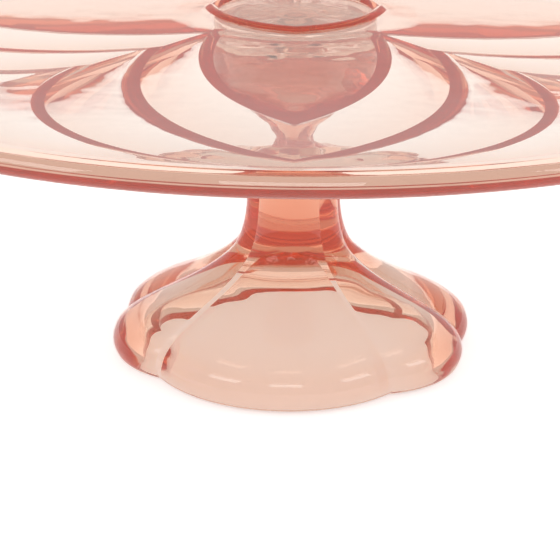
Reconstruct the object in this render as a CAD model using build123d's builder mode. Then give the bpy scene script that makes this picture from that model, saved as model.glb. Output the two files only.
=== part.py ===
from build123d import *
import os
from math import cos, radians, sin

# A pressed-glass cake turntable: a round glass plate that turns on a glass pedestal,
# on a low bearing under the plate's middle.
# Units are millimetres, +Z is up, and the origin is the middle of the base on the table.

# ---- plate ----
PLATE_RADIUS = 150.0
PLATE_TOP_Z = 96.8  # glass surface inside the middle ring
PLATE_SEAT_Z = 91.2  # underside of the plate over the bearing
SEAT_RADIUS = 25.0  # the middle is flat out to here, on both faces
WELL_RADIUS = 75.0  # lowest circle of the plate's shallow dish
WELL_DIP = 0.6
PLATE_LIFT = 2.8  # how far the rim stands above the middle
RIM_HEIGHT = 6.4
RIM_BULGE = 0.55  # share of the rim's height at which it is widest
RIM_SLOPE = 0.075  # rise of both faces where they reach the rim
RIM_TOP_INSET = 3.0  # the rounding of the rim starts this far in, on top
# Below, the rim is a bead, and this line is the bottom of the cove inside it.
COVE_INSET = 8.5
COVE_RISE = 1.6
BEAD_LOW = ((6.4, 0.9), (3.6, 0.0), (1.1, 1.2))  # inset from the edge, height over the lowest
BEAD_HIGH = (1.1, 0.9)  # inset from the edge, depth under the rim's top

RING_CORNER = 24.2  # middle ring: a square with bulged sides, its corners on X and Y
RING_BULGE = 5.2
RING_WIDTH = 3.6
RING_RISE = 1.1
RING_ROOT = 1.0  # how deep the ring is let into the plate

CREASE_DEPTH = 1.8  # the nested leaves are outlined by creases in the underside
CREASE_WIDTH = 3.6
LEAF_RISE = 0.8  # the innermost leaves stand this far out of the underside
LEAF_ROOT = 1.0  # how deep they are let into the plate
LEAF_CREASES = (  # start on the diagonal (its X and Y), widest place, half width, tip
    (SEAT_RADIUS / 2**0.5, 39.0, 20.5, 98.0),
    (33.5, 60.0, 37.5, 134.0),
    (50.5, 77.0, 58.5, 145.0),
)

# ---- pedestal ----
PETAL_TURN = -98.0  # bearing of the front petal's middle, from +X
BROAD_PETAL = 88.0  # angle taken up by the front petal, and by the one at the back
SIDE_PETALS = 2  # on each side, sharing the rest of the circle
HEAD_Z = 84.0
# Flower-shaped sections: height, radius at a petal's middle, radius at the crease
# between two petals.
PEDESTAL_SECTIONS = (
    (0.0, 47.0, 43.0),
    (1.6, 49.6, 45.6),
    (5.0, 50.6, 46.6),
    (8.5, 49.6, 45.4),
    (11.5, 46.8, 42.4),
    (15.0, 41.2, 36.8),
    (18.5, 34.0, 30.6),
    (22.5, 26.6, 23.8),
    (27.0, 20.0, 18.0),
    (31.0, 16.2, 14.7),
    (37.0, 13.9, 12.7),
    (46.0, 12.9, 11.8),
    (56.0, 13.1, 12.0),
    (66.0, 14.8, 13.6),
    (74.0, 17.8, 16.6),
    (80.0, 21.2, 20.2),
    (HEAD_Z, 23.6, 22.6),
)
# The hollow under the foot follows the petals, in sections of the same kind.
HOLLOW_SECTIONS = (
    (0.0, 43.8, 40.4),
    (4.0, 43.8, 40.4),
    (8.0, 42.2, 38.8),
    (11.8, 37.6, 34.4),
    (15.4, 30.8, 28.0),
    (19.4, 22.6, 20.6),
    (23.6, 15.4, 14.2),
    (27.0, 8.2, 7.6),
    (28.4, 3.0, 2.8),
)

# ---- bearing ----
BALL_COUNT = 12
BALL_RADIUS = 1.5
BALL_CIRCLE = 17.0
BALL_Z = 87.6
TRACK_PLAY = 0.05
RACE_RADIUS = 22.0
RACE_FACE = 0.6  # from the ball centres to each race's inner face
RACE_THICK = 2.7
BOND_THICK = 0.3
BOND_RADIUS = 18.0
BOND_HOLE = 6.0
CAGE_INNER = 14.2
CAGE_OUTER = 19.8
CAGE_THICK = 0.7
CAGE_PLAY = 0.08
PIN_RADIUS = 3.0
PIN_PLAY = 0.05
PIN_HEAD_RADIUS = 5.0
PIN_HEAD_THICK = 1.1
RETAINER_THICK = 0.8
RETAINER_GROOVE = 0.4
AXIAL_PLAY = 0.1
RECESS_PLAY = 0.3

# ---- heights that follow ----
RIM_TOP_Z = PLATE_TOP_Z + PLATE_LIFT
RIM_LOW_Z = RIM_TOP_Z - RIM_HEIGHT
RIM_WIDEST_Z = RIM_LOW_Z + RIM_BULGE * RIM_HEIGHT
COVE_RADIUS = PLATE_RADIUS - COVE_INSET
COVE_Z = RIM_LOW_Z + COVE_RISE
CUT_Z = HEAD_Z  # well under the whole plate: the leaves and their creases are drawn at this level
LOWER_RACE_Z = BALL_Z - RACE_FACE - RACE_THICK
UPPER_RACE_Z = BALL_Z + RACE_FACE
UPPER_RACE_TOP = UPPER_RACE_Z + RACE_THICK
RECESS_FLOOR = UPPER_RACE_TOP - RETAINER_THICK - 2 * AXIAL_PLAY
RETAINER_Z = RECESS_FLOOR + AXIAL_PLAY
PIN_TOP = UPPER_RACE_TOP - AXIAL_PLAY

ON_TOP = (Align.CENTER, Align.CENTER, Align.MIN)

os.makedirs("parts", exist_ok=True)


def save(piece, name):
    piece.label = name
    export_step(piece, f"parts/{name}.step")


def petals():
    """Each petal of the foot, as the bearings of its start, middle and end."""
    side = (180.0 - BROAD_PETAL) / SIDE_PETALS
    start = PETAL_TURN - BROAD_PETAL / 2
    found = []
    for width in [BROAD_PETAL, *[side] * SIDE_PETALS] * 2:
        found.append((start, start + width / 2, start + width))
        start += width
    return found


def petal_outline(middle, crease):
    """One section of the pedestal: an arc over each petal, meeting in the creases."""
    for bearings in petals():
        ThreePointArc(*[
            (radius * cos(radians(bearing)), radius * sin(radians(bearing)))
            for radius, bearing in zip((crease, middle, crease), bearings)
        ])


def underside(start_radius, lift):
    """The plate's underside curve, raised by lift, from a radius to the cove."""
    Spline(
        (start_radius, PLATE_SEAT_Z + lift),
        (WELL_RADIUS, PLATE_SEAT_Z - WELL_DIP + lift),
        (COVE_RADIUS, COVE_Z + lift),
        tangents=((1, 0), (1, RIM_SLOPE)),
    )


def underside_layer(start_radius, low, high):
    """Half section of a layer between the underside curve raised by low and by high."""
    with BuildSketch(Plane.XZ) as layer:
        with BuildLine():
            underside(start_radius, low)
            underside(start_radius, high)
            for radius, height in ((start_radius, PLATE_SEAT_Z), (COVE_RADIUS, COVE_Z)):
                Line((radius, height + low), (radius, height + high))
        make_face()
    return layer.sketch


def leaf_edge(quarter, side, cusp, widest, half_width, tip):
    """One edge of a leaf, from its cusp on the diagonal to its tip."""
    points = [(cusp, side * cusp), (widest, side * half_width), (tip, 0)]
    return ThreePointArc(*[Vector(*point).rotate(Axis.Z, 90.0 * quarter) for point in points])


def race_blank(bottom):
    """A race as a flat disc with the pin's bore and its half of the ball track."""
    with Locations((0, 0, bottom)):
        Cylinder(RACE_RADIUS, RACE_THICK, align=ON_TOP)
        Cylinder(PIN_RADIUS + PIN_PLAY, RACE_THICK, align=ON_TOP, mode=Mode.SUBTRACT)
    with Locations((0, 0, BALL_Z)):
        Torus(BALL_CIRCLE, BALL_RADIUS + TRACK_PLAY, mode=Mode.SUBTRACT)


# ---- pedestal: petalled foot, fluted stem and flared head, in one pressing ----
with BuildPart() as pedestal:
    for sections, mode in ((PEDESTAL_SECTIONS, Mode.ADD), (HOLLOW_SECTIONS, Mode.SUBTRACT)):
        for height, middle, crease in sections:
            with BuildSketch(Plane.XY.offset(height)):
                with BuildLine():
                    petal_outline(middle, crease)
                make_face()
        loft(mode=mode)
save(pedestal.part, "pedestal")

# ---- plate: shallow dish with a beaded rim, a middle ring and nested leaves below ----
with BuildPart() as creases:
    # bands along the leaf outlines, cut off at the bottom of the creases
    with BuildSketch(Plane.XY.offset(CUT_Z)):
        for quarter in range(4):
            for leaf in LEAF_CREASES:
                for side in (-1, 1):
                    with BuildLine(mode=Mode.PRIVATE) as crease_line:
                        leaf_edge(quarter, side, *leaf)
                    trace(crease_line.line, line_width=CREASE_WIDTH)
    extrude(amount=PLATE_TOP_Z - CUT_Z)
    add(underside_layer(SEAT_RADIUS + CREASE_WIDTH, -2 * LEAF_RISE, CREASE_DEPTH))
    revolve(axis=Axis.Z, mode=Mode.INTERSECT)

with BuildPart() as inner_leaves:
    with BuildSketch(Plane.XY.offset(CUT_Z)):
        for quarter in range(4):
            with BuildLine():
                leaf_edge(quarter, 1, *LEAF_CREASES[0])
                leaf_edge(quarter, -1, *LEAF_CREASES[0])
                start = Vector(SEAT_RADIUS, 0).rotate(Axis.Z, 90.0 * quarter)
                ThreePointArc(*[start.rotate(Axis.Z, turn) for turn in (-45.0, 0.0, 45.0)])
            make_face()
    extrude(amount=PLATE_TOP_Z - CUT_Z)
    add(underside_layer(SEAT_RADIUS + CREASE_WIDTH, -LEAF_RISE, LEAF_ROOT))
    revolve(axis=Axis.Z, mode=Mode.INTERSECT)

with BuildPart() as middle_ring:
    # stands a little above the glass around it
    corners = [(RING_CORNER, 0), (0, RING_CORNER), (-RING_CORNER, 0), (0, -RING_CORNER)]
    bulge = RING_CORNER / 2 + RING_BULGE / 2**0.5
    sides = [(bulge, bulge), (-bulge, bulge), (-bulge, -bulge), (bulge, -bulge)]
    with BuildSketch(Plane.XY.offset(PLATE_TOP_Z - RING_ROOT)):
        with BuildLine():
            for start, middle, end in zip(corners, sides, corners[1:] + corners[:1]):
                ThreePointArc(start, middle, end)
        make_face()
        offset(amount=-RING_WIDTH, mode=Mode.SUBTRACT)
    extrude(amount=RING_ROOT + RING_RISE)

with BuildPart() as plate:
    with BuildSketch(Plane.XZ):
        rim_widest = (PLATE_RADIUS, RIM_WIDEST_Z)
        rim_end = (PLATE_RADIUS - RIM_TOP_INSET, RIM_TOP_Z)
        with BuildLine():
            underside(SEAT_RADIUS, 0)
            Spline(
                (COVE_RADIUS, COVE_Z),
                *[(PLATE_RADIUS - inset, RIM_LOW_Z + rise) for inset, rise in BEAD_LOW],
                rim_widest,
                tangents=((1, -RIM_SLOPE), (0, 1)),
            )
            Spline(
                rim_widest,
                (PLATE_RADIUS - BEAD_HIGH[0], RIM_TOP_Z - BEAD_HIGH[1]),
                rim_end,
                tangents=((0, 1), (-1, -RIM_SLOPE)),
            )
            Spline(
                rim_end,
                (WELL_RADIUS, PLATE_TOP_Z - WELL_DIP),
                (SEAT_RADIUS, PLATE_TOP_Z),
                tangents=((-1, -RIM_SLOPE), (-1, 0)),
            )
            Polyline(
                (SEAT_RADIUS, PLATE_TOP_Z),
                (0, PLATE_TOP_Z),
                (0, PLATE_SEAT_Z),
                (SEAT_RADIUS, PLATE_SEAT_Z),
            )
        make_face()
    revolve(axis=Axis.Z)
    add(inner_leaves.part)
    add(creases.part, mode=Mode.SUBTRACT)
    add(middle_ring.part)
save(plate.part, "plate")

# ---- bearing: two races, the ball cage, the balls, the pin and its retaining ring ----
with BuildPart() as lower_race:
    race_blank(LOWER_RACE_Z)
    with Locations((0, 0, LOWER_RACE_Z)):
        Cylinder(PIN_HEAD_RADIUS + RECESS_PLAY, PIN_HEAD_THICK, align=ON_TOP, mode=Mode.SUBTRACT)
save(lower_race.part, "lower_race")

with BuildPart() as upper_race:
    race_blank(UPPER_RACE_Z)
    with Locations((0, 0, RECESS_FLOOR)):
        Cylinder(PIN_HEAD_RADIUS + RECESS_PLAY, RACE_THICK, align=ON_TOP, mode=Mode.SUBTRACT)
save(upper_race.part, "upper_race")

with BuildPart() as ball_cage:
    with BuildSketch(Plane.XY.offset(BALL_Z - CAGE_THICK / 2)):
        Circle(CAGE_OUTER)
        Circle(CAGE_INNER, mode=Mode.SUBTRACT)
        with PolarLocations(BALL_CIRCLE, BALL_COUNT):
            Circle(BALL_RADIUS + CAGE_PLAY, mode=Mode.SUBTRACT)
    extrude(amount=CAGE_THICK)
save(ball_cage.part, "ball_cage")

with BuildPart(Plane.XY.offset(BALL_Z)) as bearing_balls:
    with PolarLocations(BALL_CIRCLE, BALL_COUNT):
        Sphere(BALL_RADIUS)
save(bearing_balls.part, "bearing_balls")

with BuildPart() as centre_pin:
    with BuildSketch(Plane.XZ):
        with BuildLine():
            Polyline(
                (0, LOWER_RACE_Z),
                (PIN_HEAD_RADIUS, LOWER_RACE_Z),
                (PIN_HEAD_RADIUS, LOWER_RACE_Z + PIN_HEAD_THICK),
                (PIN_RADIUS, LOWER_RACE_Z + PIN_HEAD_THICK),
                (PIN_RADIUS, RETAINER_Z),
                (PIN_RADIUS - RETAINER_GROOVE, RETAINER_Z),
                (PIN_RADIUS - RETAINER_GROOVE, PIN_TOP),
                (0, PIN_TOP),
                close=True,
            )
        make_face()
    revolve(axis=Axis.Z)
save(centre_pin.part, "centre_pin")

with BuildPart() as retaining_ring:
    with BuildSketch(Plane.XY.offset(RETAINER_Z)):
        Circle(PIN_HEAD_RADIUS)
        Circle(PIN_RADIUS - RETAINER_GROOVE, mode=Mode.SUBTRACT)
    extrude(amount=RETAINER_THICK)
save(retaining_ring.part, "retaining_ring")

for bond_name, bond_z in (("lower_bond_disc", HEAD_Z), ("upper_bond_disc", UPPER_RACE_TOP)):
    with BuildPart() as bond_disc:
        with BuildSketch(Plane.XY.offset(bond_z)):
            Circle(BOND_RADIUS)
            Circle(BOND_HOLE, mode=Mode.SUBTRACT)
        extrude(amount=BOND_THICK)
    save(bond_disc.part, bond_name)
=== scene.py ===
import math

import bmesh
import bpy
import numpy as np
from mathutils import Euler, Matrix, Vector


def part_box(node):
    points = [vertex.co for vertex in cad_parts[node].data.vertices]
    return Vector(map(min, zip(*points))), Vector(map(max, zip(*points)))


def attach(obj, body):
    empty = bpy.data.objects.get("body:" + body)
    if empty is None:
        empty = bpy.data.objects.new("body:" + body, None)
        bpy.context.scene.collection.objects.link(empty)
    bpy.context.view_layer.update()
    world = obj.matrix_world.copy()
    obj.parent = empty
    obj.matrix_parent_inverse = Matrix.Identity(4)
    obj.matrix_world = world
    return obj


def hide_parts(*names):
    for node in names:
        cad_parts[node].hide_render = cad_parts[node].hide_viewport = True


# A pressed-glass cake turntable: a leaf-patterned plate and a petalled pedestal in pink glass,
# with a clear bearing between them. The meshes are worked out in millimetres.

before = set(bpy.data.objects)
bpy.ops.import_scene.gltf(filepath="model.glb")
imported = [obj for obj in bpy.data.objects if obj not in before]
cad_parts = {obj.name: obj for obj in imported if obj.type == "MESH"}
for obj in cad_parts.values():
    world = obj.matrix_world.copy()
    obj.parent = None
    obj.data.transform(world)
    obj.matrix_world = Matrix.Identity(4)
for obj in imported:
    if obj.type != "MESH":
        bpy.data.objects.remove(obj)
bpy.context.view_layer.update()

MM = 0.001

# ---- plate, with the sizes of the CAD part ----
PLATE_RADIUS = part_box("plate")[1].x / MM
RIM_TOP_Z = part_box("plate")[1].z / MM
PLATE_TOP_Z = 96.8  # glass surface inside the middle ring
PLATE_SEAT_Z = 91.2  # underside of the plate over the bearing
SEAT_RADIUS = 25.0  # the middle is flat out to here, on both faces
WELL_RADIUS = 75.0  # lowest circle of the plate's shallow dish
WELL_DIP = 0.6
WELL_SLOPE = 0.004  # rise of both faces at that circle
RIM_SLOPE = 0.075  # and where they reach the rim
RIM_HEIGHT = 6.4
RIM_WIDEST = 0.45  # share of the rim's height, from the top, at which it is widest
RIM_TOP_INSET = 3.0  # the rounding of the rim starts this far in, on top
COVE_INSET = 8.5  # hollow line under the plate, inside the rim's bead
COVE_RISE = 1.6
BEAD_HIGH = (1.1, 0.9)  # inset from the edge, depth under the rim's top
BEAD_LOW = ((1.1, 1.2), (3.6, 0.0), (6.4, 0.9))  # inset from the edge, height over the lowest

RING_CORNER = 24.2  # middle ring: a square with bulged sides, its corners on X and Y
RING_BULGE = 5.2
RING_WIDTH = 3.6
RING_RISE = 1.1
RING_ROUNDING = 0.8  # power of the sine that rounds the ring's top; less is squarer
RING_BLEND_RADIUS = 34.0  # outside this, the top of the plate is round again

LEAF_CREASES = (  # start on the diagonal (its X and Y), widest place, half width, tip
    (SEAT_RADIUS / math.sqrt(2), 39.0, 20.5, 98.0),
    (33.5, 60.0, 37.5, 134.0),
    (50.5, 77.0, 58.5, 145.0),
)
STEP_DEPTH = 2.4  # each leaf's edge stands this far out of the next one round it
STEP_WIDTH = 6.0
STEP_DEPTH_SHARE = 0.14  # both are limited to a share of the distance to the next leaf's edge
STEP_WIDTH_SHARE = 0.45
STEP_POWER = 1.3  # over 1, a step is steepest at the leaf's edge
FALL_POWER = 1.4  # over 1, the long fall after it starts slowly
LEAF_BULGE = 0.62  # swelling in the middle of the innermost leaf
LEAF_BULGE_SHARE = 0.12  # limit, as a share of half the leaf's width
RELIEF_FADE = 8.0  # steps and bulge fade out within this distance of the seat and of the cove

RIM_LOW_Z = RIM_TOP_Z - RIM_HEIGHT
RIM_TOP_RADIUS = PLATE_RADIUS - RIM_TOP_INSET
COVE_RADIUS = PLATE_RADIUS - COVE_INSET
COVE_Z = RIM_LOW_Z + COVE_RISE

# ---- pedestal, with the sizes of the CAD part ----
HEAD_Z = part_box("pedestal")[1].z / MM
PETAL_TURN = -98.0  # bearing of the front petal's middle, from +X
BROAD_PETAL = 88.0  # angle taken up by the front petal, and by the one at the back
SIDE_PETALS = 2  # on each side, sharing the rest of the circle
# Flower-shaped sections: height, radius at a petal's middle, radius at the crease
# between two petals.
PEDESTAL_SECTIONS = (
    (0.0, 47.0, 43.0),
    (1.6, 49.6, 45.6),
    (5.0, 50.6, 46.6),
    (8.5, 49.6, 45.4),
    (11.5, 46.8, 42.4),
    (15.0, 41.2, 36.8),
    (18.5, 34.0, 30.6),
    (22.5, 26.6, 23.8),
    (27.0, 20.0, 18.0),
    (31.0, 16.2, 14.7),
    (37.0, 13.9, 12.7),
    (46.0, 12.9, 11.8),
    (56.0, 13.1, 12.0),
    (66.0, 14.8, 13.6),
    (74.0, 17.8, 16.6),
    (80.0, 21.2, 20.2),
    (HEAD_Z, 23.6, 22.6),
)
HOLLOW_SECTIONS = (
    (0.0, 43.8, 40.4),
    (4.0, 43.8, 40.4),
    (8.0, 42.2, 38.8),
    (11.8, 37.6, 34.4),
    (15.4, 30.8, 28.0),
    (19.4, 22.6, 20.6),
    (23.6, 15.4, 14.2),
    (27.0, 8.2, 7.6),
    (28.4, 3.0, 2.8),
)

# ---- how finely the meshes are divided ----
LEAF_STEPS = 64  # along an eighth of the plate
STRIP_COLUMNS = (14, 24, 26, 24)  # across each strip of the underside, from the innermost leaf out
SEAT_RINGS = (0.0, 8.0, 16.0, SEAT_RADIUS)
MIDDLE_SHARES = (0.0, 0.2, 0.4, 0.6, 0.8, 0.94, 1.0)  # of the way out to the middle ring
RING_ROWS = 12
BLEND_ROWS = 7
DISH_ROWS = 25
RIM_ROWS = 22
PEDESTAL_ROWS = 120
HOLLOW_ROWS = 48
COLUMNS_PER_DEGREE = 1.5  # round the pedestal
PLATE_SHARP = 17  # an edge that turns by more degrees than this is shaded sharp
PEDESTAL_SHARP = 14
WELD_DISTANCE = 2e-6
SLIVER_LENGTH = 1e-7

# ---- materials ----
GLASS_TINT = (0.91, 0.905, 0.87, 1)
GLASS_DEPTH_COLOR = (0.87, 0.5, 0.305, 1)  # what the glass lets through
GLASS_DENSITY = 95.0
PAINTED_GLOW_COLOR = (1.0, 0.52, 0.38, 1)  # painted glow: the glass's volume gives off light of its own, which keeps thick places red
PAINTED_GLOW_STRENGTH = 5.0
CLEAR_TINT = (0.98, 0.88, 0.82, 1)
FILM_TINT = (0.95, 0.9, 0.88, 1)

# ---- stage, in metres ----
FLOOR_SIZE = 8
FLOOR_DROP = 0.0002
FLOOR_COLOR = (0.93, 0.93, 0.93, 1)
FLOOR_GLOW = 0.55
WORLD_LIGHT = 0.8
LIGHT_TARGET = (0, 0, 0.05)
SOFTBOXES = (  # name, place, width and height, watts
    ("front_softbox", (0.0, -1.6, 1.15), (0.8, 0.4), 3.2),
    ("left_softbox", (-1.35, -0.95, 1.12), (0.8, 0.45), 3.6),
    ("right_softbox", (1.45, -0.7, 1.12), (0.8, 0.45), 3.6),
)
LIGHT_BOUNCES = 40  # light crosses many faces of thick glass

CAMERA_BACK = 0.6076
CAMERA_UP = 0.2508
CAMERA_PITCH = 20.86
CAMERA_YAW = 0.33
CAMERA_ROLL = 0.55
LENS_MM = 149.9
SENSOR_MM = 36.0


# ---------------------------------------------------------------- mesh helpers
def hermite(t, gap, start, end, start_slope, end_slope):
    """Cubic from start to end over a gap, at a share t of it, with the slopes at both ends."""
    return (
        (2 * t**3 - 3 * t**2 + 1) * start
        + (t**3 - 2 * t**2 + t) * gap * start_slope
        + (3 * t**2 - 2 * t**3) * end
        + (t**3 - t**2) * gap * end_slope
    )


def smooth_curve(keys, count):
    """count points on a smooth curve through keys, a spline over the root of their distances."""
    keys = np.array(keys, float)
    lengths = np.linalg.norm(np.diff(keys, axis=0), axis=1)
    chord = np.concatenate([[0], np.cumsum(lengths**0.5)])
    wanted = np.linspace(0, chord[-1], count)
    slopes = np.gradient(keys, chord, axis=0)
    spot = np.clip(np.searchsorted(chord, wanted, side="right") - 1, 0, len(keys) - 2)
    gap = (chord[spot + 1] - chord[spot])[:, None]
    t = (wanted - chord[spot])[:, None] / gap
    return hermite(t, gap, keys[spot], keys[spot + 1], slopes[spot], slopes[spot + 1])


def circle(radius, z, theta):
    """Points round the Z axis, at a radius that may change with the direction."""
    height = np.broadcast_to(z, theta.shape)
    return np.stack([radius * np.cos(theta), radius * np.sin(theta), height], -1)


def grid_faces(rows, cols, wrap):
    """Quads of a grid of rows x cols points, closed round its columns if wrap."""
    faces = []
    for i in range(rows - 1):
        for j in range(cols if wrap else cols - 1):
            k = (j + 1) % cols
            faces.append((i * cols + j, i * cols + k, (i + 1) * cols + k, (i + 1) * cols + j))
    return faces


def weld(name, patches, sharp_angle):
    """One closed mesh object out of grids that share their edges."""
    verts, faces = [], []
    for points, wrap in patches:
        rows, cols = points.shape[:2]
        base = len(verts)
        verts.extend((points.reshape(-1, 3) * MM).tolist())
        faces.extend([tuple(base + n for n in quad) for quad in grid_faces(rows, cols, wrap)])
    mesh = bpy.data.meshes.new(name)
    mesh.from_pydata(verts, [], faces)
    bm = bmesh.new()
    bm.from_mesh(mesh)
    bmesh.ops.remove_doubles(bm, verts=bm.verts, dist=WELD_DISTANCE)
    bmesh.ops.dissolve_degenerate(bm, edges=bm.edges, dist=SLIVER_LENGTH)
    bmesh.ops.recalc_face_normals(bm, faces=bm.faces)
    open_edges = [e for e in bm.edges if len(e.link_faces) != 2]
    print(f"{name}: {len(bm.faces)} faces, {len(open_edges)} open edges")
    bm.to_mesh(mesh)
    bm.free()
    mesh.shade_smooth()
    mesh.set_sharp_from_angle(angle=math.radians(sharp_angle))
    obj = bpy.data.objects.new(name, mesh)
    bpy.context.collection.objects.link(obj)
    return obj


# ---------------------------------------------------------------- plate
def three_point_arc(a, b, c, share):
    """Points on the arc from a through b to c, at the given shares of its angle."""
    (ax, ay), (bx, by), (cx, cy) = a, b, c
    a2, b2, c2 = ax**2 + ay**2, bx**2 + by**2, cx**2 + cy**2
    d = 2 * (ax * (by - cy) + bx * (cy - ay) + cx * (ay - by))
    ux = (a2 * (by - cy) + b2 * (cy - ay) + c2 * (ay - by)) / d
    uy = (a2 * (cx - bx) + b2 * (ax - cx) + c2 * (bx - ax)) / d
    radius = math.hypot(ax - ux, ay - uy)
    start = math.atan2(ay - uy, ax - ux)
    end = math.atan2(cy - uy, cx - ux)
    angles = start + (end - start) * share
    return np.stack([ux + radius * np.cos(angles), uy + radius * np.sin(angles)], -1)


def dish(radius, middle_z, rim_radius, rim_z):
    """Height of a plate face at a radius: flat middle, shallow well, lifted rim."""
    r = np.asarray(radius, float)
    well_z = middle_z - WELL_DIP
    inner_gap = WELL_RADIUS - SEAT_RADIUS
    inner_t = (np.clip(r, SEAT_RADIUS, WELL_RADIUS) - SEAT_RADIUS) / inner_gap
    inner = hermite(inner_t, inner_gap, middle_z, well_z, 0, WELL_SLOPE)
    outer_gap = rim_radius - WELL_RADIUS
    outer_t = (np.clip(r, WELL_RADIUS, rim_radius) - WELL_RADIUS) / outer_gap
    outer = hermite(outer_t, outer_gap, well_z, rim_z, WELL_SLOPE, RIM_SLOPE)
    return np.where(r <= SEAT_RADIUS, middle_z, np.where(r <= WELL_RADIUS, inner, outer))


def top_z(radius):
    return dish(radius, PLATE_TOP_Z, RIM_TOP_RADIUS, RIM_TOP_Z)


def underside_z(x, y):
    return dish(np.hypot(x, y), PLATE_SEAT_Z, COVE_RADIUS, COVE_Z)


def leaf_lines():
    """Lines on one eighth of the underside: a leaf's middle, the leaf edges, and the cove."""
    share = np.linspace(0, 1, LEAF_STEPS + 1)
    first_tip = LEAF_CREASES[0][3]
    lines = [np.stack([SEAT_RADIUS + (first_tip - SEAT_RADIUS) * share, 0 * share], -1)]
    for cusp, widest, half_width, tip in LEAF_CREASES:
        tip = min(tip, COVE_RADIUS)
        lines.append(three_point_arc((cusp, cusp), (widest, half_width), (tip, 0), share))
    lines[-1][-1] = (COVE_RADIUS, 0)
    cove_angle = np.radians(45 * (1 - share))
    lines.append(COVE_RADIUS * np.stack([np.cos(cove_angle), np.sin(cove_angle)], -1))
    return lines


def strip_patch(inner, outer, columns, innermost):
    """Grid of the underside between two neighbouring lines.

    Outside a leaf's edge it steps up steeply and then falls slowly to the next edge. The
    innermost strip is half a leaf, and bulges.
    """
    t = np.linspace(0, 1, columns + 1)[None, :]
    along = np.linspace(0, 1, len(inner))[:, None]
    width = np.linalg.norm(outer - inner, axis=1)[:, None]
    if innermost:
        s = t + 0 * width
        relief = -np.minimum(LEAF_BULGE, LEAF_BULGE_SHARE * width) * (1 - s**2)
    else:
        # the step takes half of the columns, so that one of them lies exactly at its end
        step = np.minimum(STEP_WIDTH / np.maximum(width, 1e-6), STEP_WIDTH_SHARE)
        rise = np.minimum(2 * t, 1)
        fall = np.maximum(2 * t - 1, 0)
        s = step * rise + (1 - step) * fall
        depth = np.minimum(STEP_DEPTH, STEP_DEPTH_SHARE * width)
        relief = depth * (1 - (1 - rise) ** STEP_POWER) * (1 - fall**FALL_POWER)
    x = inner[:, 0][:, None] * (1 - s) + outer[:, 0][:, None] * s
    y = inner[:, 1][:, None] * (1 - s) + outer[:, 1][:, None] * s
    if innermost:  # this strip starts on the seat's circle
        angle = np.radians(45) * t
        pull = (1 - along) ** 4
        x = x + pull * (SEAT_RADIUS * np.cos(angle) - x[:1])
        y = y + pull * (SEAT_RADIUS * np.sin(angle) - y[:1])
    radius = np.hypot(x, y)
    from_seat = np.clip((radius - SEAT_RADIUS) / RELIEF_FADE, 0, 1)
    from_cove = np.clip((COVE_RADIUS - radius) / RELIEF_FADE, 0, 1)
    return np.stack([x, y, underside_z(x, y) + relief * from_seat * from_cove], -1)


def ring_edge(theta):
    """Distance from the middle to the bulged square ring, in the direction theta."""
    chord = RING_CORNER * math.sqrt(2)
    radius = (chord**2 / 4 + RING_BULGE**2) / (2 * RING_BULGE)
    centre = RING_CORNER / math.sqrt(2) + RING_BULGE - radius
    off = np.mod(theta, math.pi / 2) - math.pi / 4
    return centre * np.cos(off) + np.sqrt(radius**2 - (centre * np.sin(off)) ** 2)


def plate_top_and_rim():
    """Grid from the middle of the top, over the ring and the dish, round the rim to the cove."""
    theta = np.linspace(0, 2 * math.pi, LEAF_STEPS * 8, endpoint=False)
    outer_edge = ring_edge(theta)
    inner_edge = outer_edge - RING_WIDTH
    rows = [circle(inner_edge * share, PLATE_TOP_Z, theta) for share in MIDDLE_SHARES]
    for t in np.linspace(0, 1, RING_ROWS + 1)[1:]:
        z = PLATE_TOP_Z + RING_RISE * np.sin(math.pi * t) ** RING_ROUNDING
        rows.append(circle(inner_edge + RING_WIDTH * t, z, theta))
    for t in np.linspace(0, 1, BLEND_ROWS + 1)[1:]:
        r = outer_edge + (RING_BLEND_RADIUS - outer_edge) * t
        rows.append(circle(r, top_z(r), theta))
    for r in np.linspace(RING_BLEND_RADIUS, RIM_TOP_RADIUS, DISH_ROWS + 1)[1:]:
        rows.append(circle(r, top_z(r), theta))
    rim_keys = (
        (RIM_TOP_RADIUS, RIM_TOP_Z),
        (PLATE_RADIUS - BEAD_HIGH[0], RIM_TOP_Z - BEAD_HIGH[1]),
        (PLATE_RADIUS, RIM_TOP_Z - RIM_WIDEST * RIM_HEIGHT),
        *((PLATE_RADIUS - inset, RIM_LOW_Z + rise) for inset, rise in BEAD_LOW),
        (COVE_RADIUS, COVE_Z),
    )
    rows += [circle(r, z, theta) for r, z in smooth_curve(rim_keys, RIM_ROWS)[1:]]
    return np.stack(rows)


def make_plate():
    patches = [(plate_top_and_rim(), True)]
    lines = leaf_lines()
    for quarter in range(4):
        c, s = math.cos(quarter * math.pi / 2), math.sin(quarter * math.pi / 2)
        for side in (1, -1):
            for k, columns in enumerate(STRIP_COLUMNS):
                patch = strip_patch(lines[k], lines[k + 1], columns, k == 0)
                x, y = patch[..., 0], patch[..., 1] * side
                patches.append((np.stack([c * x - s * y, s * x + c * y, patch[..., 2]], -1), False))
    seat_theta = np.linspace(0, 2 * math.pi, STRIP_COLUMNS[0] * 8, endpoint=False)
    seat = np.stack([circle(r, PLATE_SEAT_Z, seat_theta) for r in SEAT_RINGS])
    patches.append((seat, True))
    plate = weld("glass_plate", patches, PLATE_SHARP)
    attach(plate, "turntable")
    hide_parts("plate")
    return plate


# ---------------------------------------------------------------- pedestal
def petals():
    """Each petal of the foot as the bearing of its middle and half its width, in radians."""
    side = (180.0 - BROAD_PETAL) / SIDE_PETALS
    found = []
    for back in (0.0, 180.0):
        found.append((PETAL_TURN + back, BROAD_PETAL / 2))
        for n in range(SIDE_PETALS):
            found.append((PETAL_TURN + back + BROAD_PETAL / 2 + side * (n + 0.5), side / 2))
    return [(math.radians(bearing), math.radians(half)) for bearing, half in found]


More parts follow.
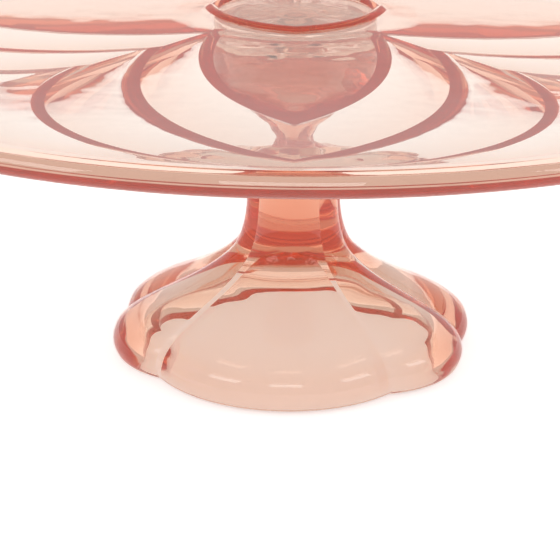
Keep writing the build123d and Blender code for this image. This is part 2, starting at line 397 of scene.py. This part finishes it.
def petal_radius(middle, crease, off, half):
    """Radius of a flower-shaped section, off radians from the middle of a petal."""
    cx, cy = crease * np.cos(half), crease * np.sin(half)
    centre = (middle**2 - cx**2 - cy**2) / (2 * (middle - cx))
    radius = middle - centre
    return centre * np.cos(off) + np.sqrt(radius**2 - (centre * np.sin(off)) ** 2)


def make_pedestal():
    bearings, offs, halves = [], [], []
    for bearing, half in petals():
        columns = 2 * round(math.degrees(half) * COLUMNS_PER_DEGREE)
        off = np.linspace(-half, half, columns, endpoint=False)
        bearings.append(bearing + off)
        offs.append(off)
        halves.append(np.full(columns, half))
    theta, off, half = (np.concatenate(each) for each in (bearings, offs, halves))

    def section(z, middle, crease, share=1.0):
        return circle(petal_radius(middle, crease, off, half) * share, z, theta)

    def wall(sections, rows):
        return [section(*key) for key in smooth_curve(sections, rows)]

    head = [section(*PEDESTAL_SECTIONS[-1], share) for share in (0.75, 0.5, 0.25, 0.0)]
    outside = wall(PEDESTAL_SECTIONS, PEDESTAL_ROWS) + head
    foot_edge = section(*PEDESTAL_SECTIONS[0])
    hollow_edge = section(*HOLLOW_SECTIONS[0])
    base = [foot_edge + (hollow_edge - foot_edge) * share for share in (0.0, 0.33, 0.67)]
    hollow_top = [section(*HOLLOW_SECTIONS[-1], share) for share in (0.5, 0.0)]
    inside = base + wall(HOLLOW_SECTIONS, HOLLOW_ROWS) + hollow_top
    patches = [(np.stack(outside), True), (np.stack(inside), True)]
    pedestal = weld("glass_pedestal", patches, PEDESTAL_SHARP)
    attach(pedestal, "base")
    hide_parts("pedestal")
    return pedestal


# ---------------------------------------------------------------- materials
def new_material(name):
    material = bpy.data.materials.new(name)
    material.use_nodes = True
    tree = material.node_tree
    tree.nodes.clear()
    out = tree.nodes.new("ShaderNodeOutputMaterial")
    shader = tree.nodes.new("ShaderNodeBsdfPrincipled")
    tree.links.new(shader.outputs["BSDF"], out.inputs["Surface"])
    return material, tree, shader, out


def add_noise(tree, scale):
    """Noise in object space."""
    coords = tree.nodes.new("ShaderNodeTexCoord")
    noise = tree.nodes.new("ShaderNodeTexNoise")
    noise.inputs["Scale"].default_value = scale
    tree.links.new(coords.outputs["Object"], noise.inputs["Vector"])
    return noise


def add_bump(tree, shader, noise, strength, distance):
    """Fine unevenness of the surface."""
    bump = tree.nodes.new("ShaderNodeBump")
    bump.inputs["Strength"].default_value = strength
    bump.inputs["Distance"].default_value = distance
    tree.links.new(noise.outputs["Fac"], bump.inputs["Height"])
    tree.links.new(bump.outputs["Normal"], shader.inputs["Normal"])


def add_range(tree, noise, socket, low, high):
    """Lets a socket of the shader vary with the noise, from low to high."""
    ramp = tree.nodes.new("ShaderNodeMapRange")
    ramp.inputs["To Min"].default_value = low
    ramp.inputs["To Max"].default_value = high
    tree.links.new(noise.outputs["Fac"], ramp.inputs["Value"])
    tree.links.new(ramp.outputs["Result"], socket)


def pink_glass(name):
    material, tree, shader, out = new_material(name)
    shader.inputs["Base Color"].default_value = GLASS_TINT
    shader.inputs["Transmission Weight"].default_value = 1.0
    shader.inputs["IOR"].default_value = 1.51
    noise = add_noise(tree, 45.0)
    add_bump(tree, shader, noise, strength=0.22, distance=0.001)
    add_range(tree, noise, shader.inputs["Roughness"], 0.0, 0.012)
    depth = tree.nodes.new("ShaderNodeVolumeAbsorption")
    depth.inputs["Color"].default_value = GLASS_DEPTH_COLOR
    depth.inputs["Density"].default_value = GLASS_DENSITY
    # painted glow: the volume of the glass gives off light, though the glass is no lamp
    painted_glow = tree.nodes.new("ShaderNodeEmission")
    painted_glow.inputs["Color"].default_value = PAINTED_GLOW_COLOR
    painted_glow.inputs["Strength"].default_value = PAINTED_GLOW_STRENGTH
    both = tree.nodes.new("ShaderNodeAddShader")
    tree.links.new(depth.outputs["Volume"], both.inputs[0])
    tree.links.new(painted_glow.outputs["Emission"], both.inputs[1])
    tree.links.new(both.outputs["Shader"], out.inputs["Volume"])
    return material


def clear_plastic(name, ior, rough_low, rough_high):
    material, tree, shader, _ = new_material(name)
    shader.inputs["Base Color"].default_value = CLEAR_TINT
    shader.inputs["Transmission Weight"].default_value = 1.0
    shader.inputs["IOR"].default_value = ior
    noise = add_noise(tree, 400.0)
    add_bump(tree, shader, noise, strength=0.1, distance=0.0001)
    add_range(tree, noise, shader.inputs["Roughness"], rough_low, rough_high)
    return material


def clear_film(name):
    """Adhesive that joins two clear faces and all but disappears between them."""
    material, tree, shader, _ = new_material(name)
    shader.inputs["Base Color"].default_value = FILM_TINT
    shader.inputs["Roughness"].default_value = 0.3
    add_range(tree, add_noise(tree, 300.0), shader.inputs["Alpha"], 0.0, 0.04)
    return material


def assign(obj, material):
    obj.data.materials.clear()
    obj.data.materials.append(material)


def assign_materials(plate, pedestal):
    glass = pink_glass("pink_pressed_glass")
    assign(plate, glass)
    assign(pedestal, glass)
    race_plastic = clear_plastic("clear_polycarbonate", 1.5, 0.01, 0.05)
    cage_plastic = clear_plastic("clear_cage_plastic", 1.5, 0.05, 0.15)
    ball_glass = clear_plastic("ball_glass", 1.52, 0.0, 0.01)
    adhesive = clear_film("clear_adhesive")
    for node, material in (
        ("lower_race", race_plastic),
        ("upper_race", race_plastic),
        ("ball_cage", cage_plastic),
        ("bearing_balls", ball_glass),
        ("centre_pin", race_plastic),
        ("retaining_ring", race_plastic),
        ("lower_bond_disc", adhesive),
        ("upper_bond_disc", adhesive),
    ):
        assign(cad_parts[node], material)


# ---------------------------------------------------------------- stage
def make_floor():
    bpy.ops.mesh.primitive_plane_add(size=FLOOR_SIZE, location=(0, 0, -FLOOR_DROP))
    floor = bpy.context.object
    floor.name = "floor"
    material, _, shader, _ = new_material("pale_floor")
    shader.inputs["Base Color"].default_value = FLOOR_COLOR
    shader.inputs["Roughness"].default_value = 0.9
    shader.inputs["Emission Color"].default_value = (1, 1, 1, 1)
    shader.inputs["Emission Strength"].default_value = FLOOR_GLOW
    assign(floor, material)


def make_world():
    world = bpy.data.worlds.new("studio")
    world.use_nodes = True
    background = world.node_tree.nodes["Background"]
    background.inputs["Color"].default_value = (1, 1, 1, 1)
    background.inputs["Strength"].default_value = WORLD_LIGHT
    bpy.context.scene.world = world


def make_softbox(name, place, size, watts):
    data = bpy.data.lights.new(name, "AREA")
    data.shape = "RECTANGLE"
    data.size, data.size_y = size
    data.energy = watts
    light = bpy.data.objects.new(name, data)
    light.location = place
    aim = Vector(LIGHT_TARGET) - Vector(place)
    light.rotation_euler = aim.to_track_quat("-Z", "Y").to_euler()
    bpy.context.collection.objects.link(light)


def make_camera():
    data = bpy.data.cameras.new("camera")
    data.lens = LENS_MM
    data.sensor_width = SENSOR_MM
    data.clip_start = 0.01
    camera = bpy.data.objects.new("camera", data)
    camera.location = (0, -CAMERA_BACK, CAMERA_UP)
    aim = Euler((math.radians(90 - CAMERA_PITCH), 0, math.radians(CAMERA_YAW))).to_matrix()
    roll = Euler((0, 0, math.radians(CAMERA_ROLL))).to_matrix()
    camera.rotation_euler = (aim @ roll).to_euler()
    bpy.context.collection.objects.link(camera)
    bpy.context.scene.camera = camera


assign_materials(make_plate(), make_pedestal())
make_floor()
make_world()
for softbox in SOFTBOXES:
    make_softbox(*softbox)
make_camera()

scene = bpy.context.scene
scene.view_settings.view_transform = "Standard"
scene.cycles.max_bounces = LIGHT_BOUNCES
scene.cycles.transmission_bounces = LIGHT_BOUNCES
scene.cycles.glossy_bounces = LIGHT_BOUNCES
